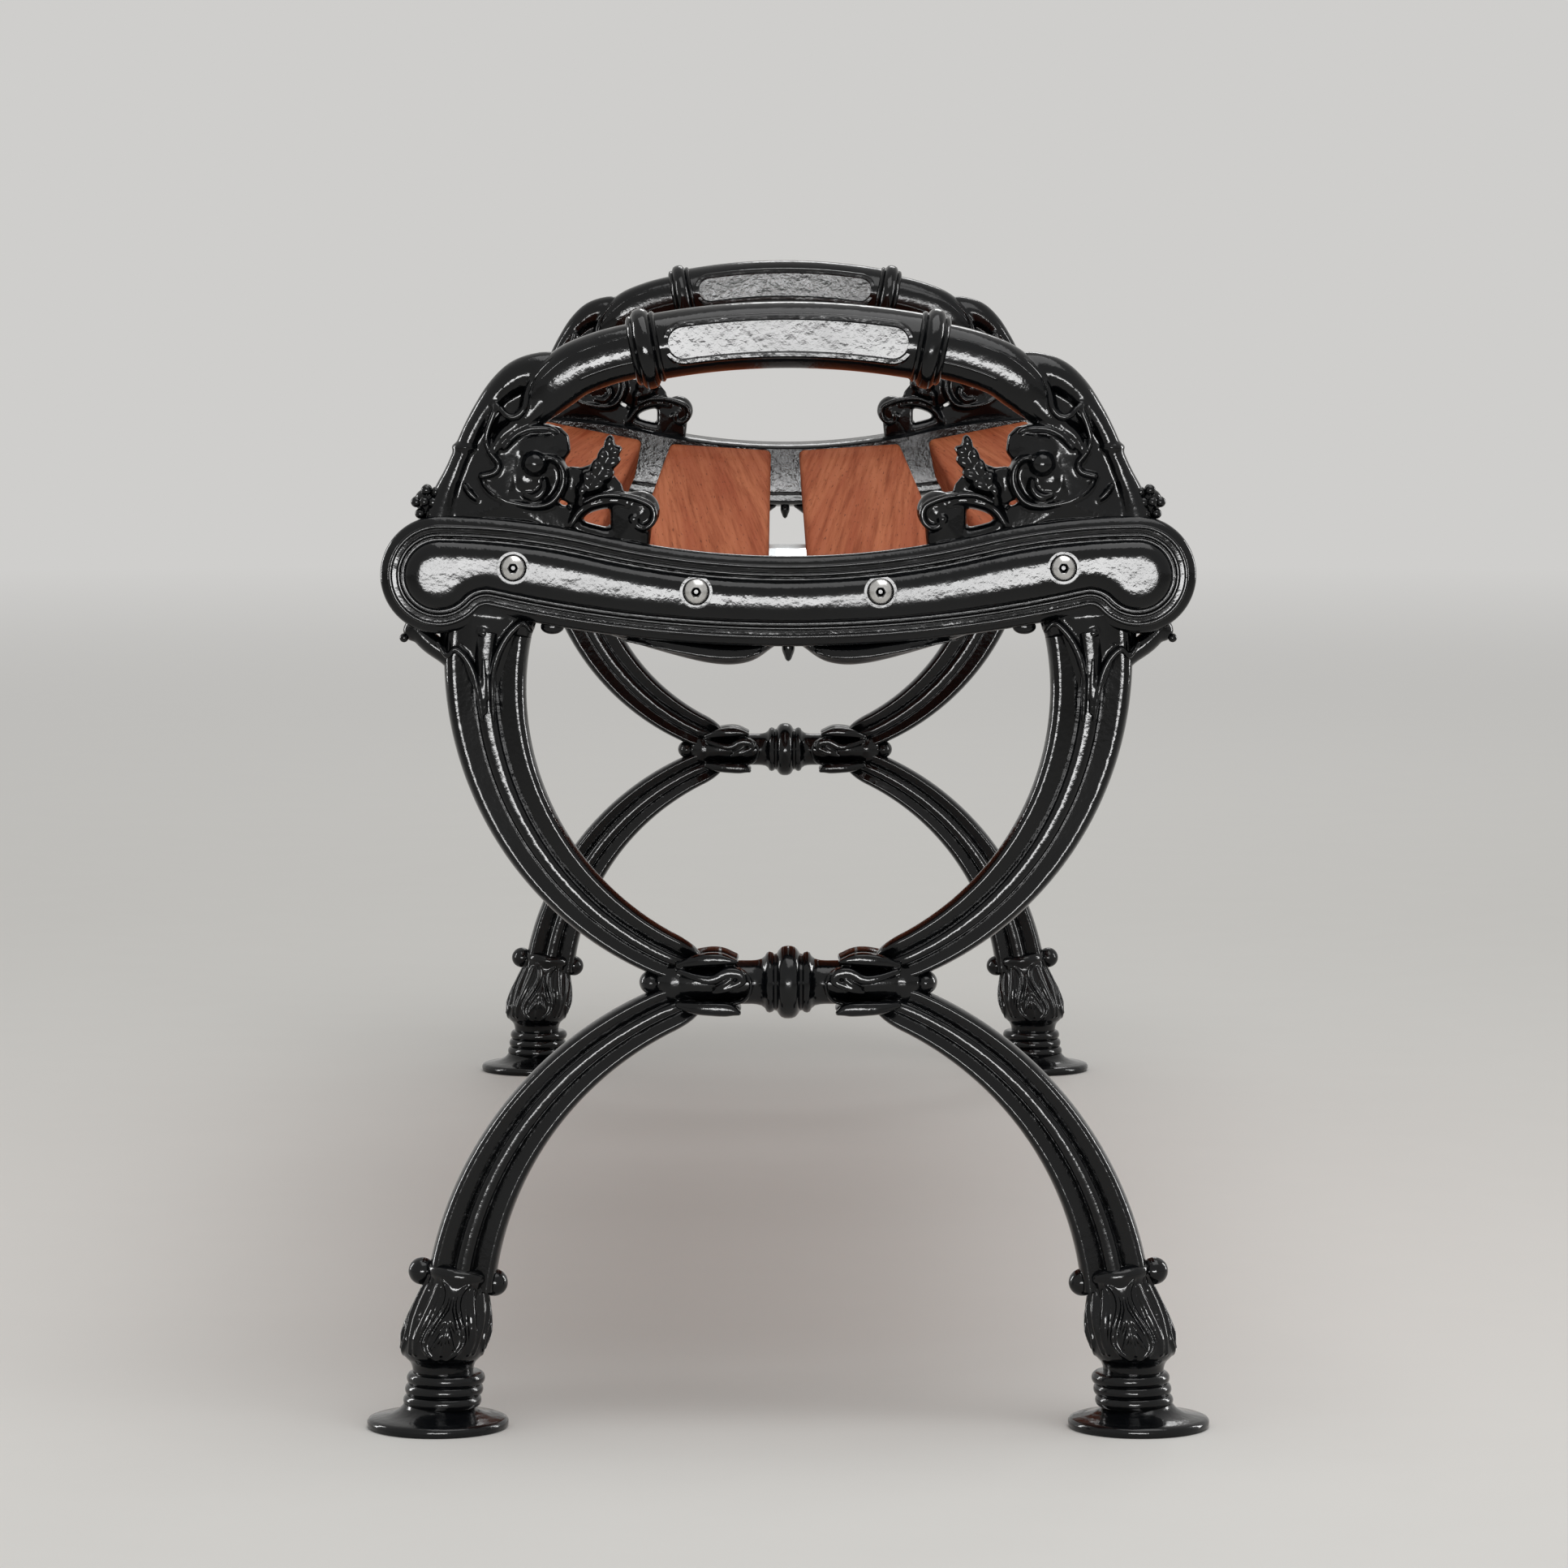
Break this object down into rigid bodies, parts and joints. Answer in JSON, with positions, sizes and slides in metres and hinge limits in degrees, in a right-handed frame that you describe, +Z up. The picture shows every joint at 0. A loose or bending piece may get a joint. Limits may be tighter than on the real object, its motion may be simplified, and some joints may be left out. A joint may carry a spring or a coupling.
{
  "type": "garden bench",
  "caption": "Backless bench: ornate black cast end frames with scrolled arm loops and crossed C-curve legs carry lengthwise hardwood slats on a dished seat.",
  "frame": {"origin": "on the floor, under the middle of the bench", "axes": "+Y along the bench, +X across the seat, +Z up; the near end frame is at -Y"},
  "size_m": [0.441, 1.5038, 0.5882],
  "materials": {
    "frame_iron": "gloss black paint over sand-cast iron",
    "slat_wood": "oiled red-brown hardwood",
    "screw_steel": "bright stainless steel",
    "bar_steel": "galvanised flat bar",
    "nut_steel": "zinc-plated steel"
  },
  "bodies": {
    "root": {"end_frame_near": "frame_iron", "end_frame_far": "frame_iron", "seat_slat_1": "slat_wood", "seat_slat_2": "slat_wood", "seat_slat_3": "slat_wood", "seat_slat_4": "slat_wood", "centre_bar": "bar_steel", "frame_screws_near": "screw_steel", "frame_screws_far": "screw_steel", "barrel_nuts_near": "nut_steel", "barrel_nuts_far": "nut_steel", "centre_bar_screws": "screw_steel"}
  },
  "joints": []
}
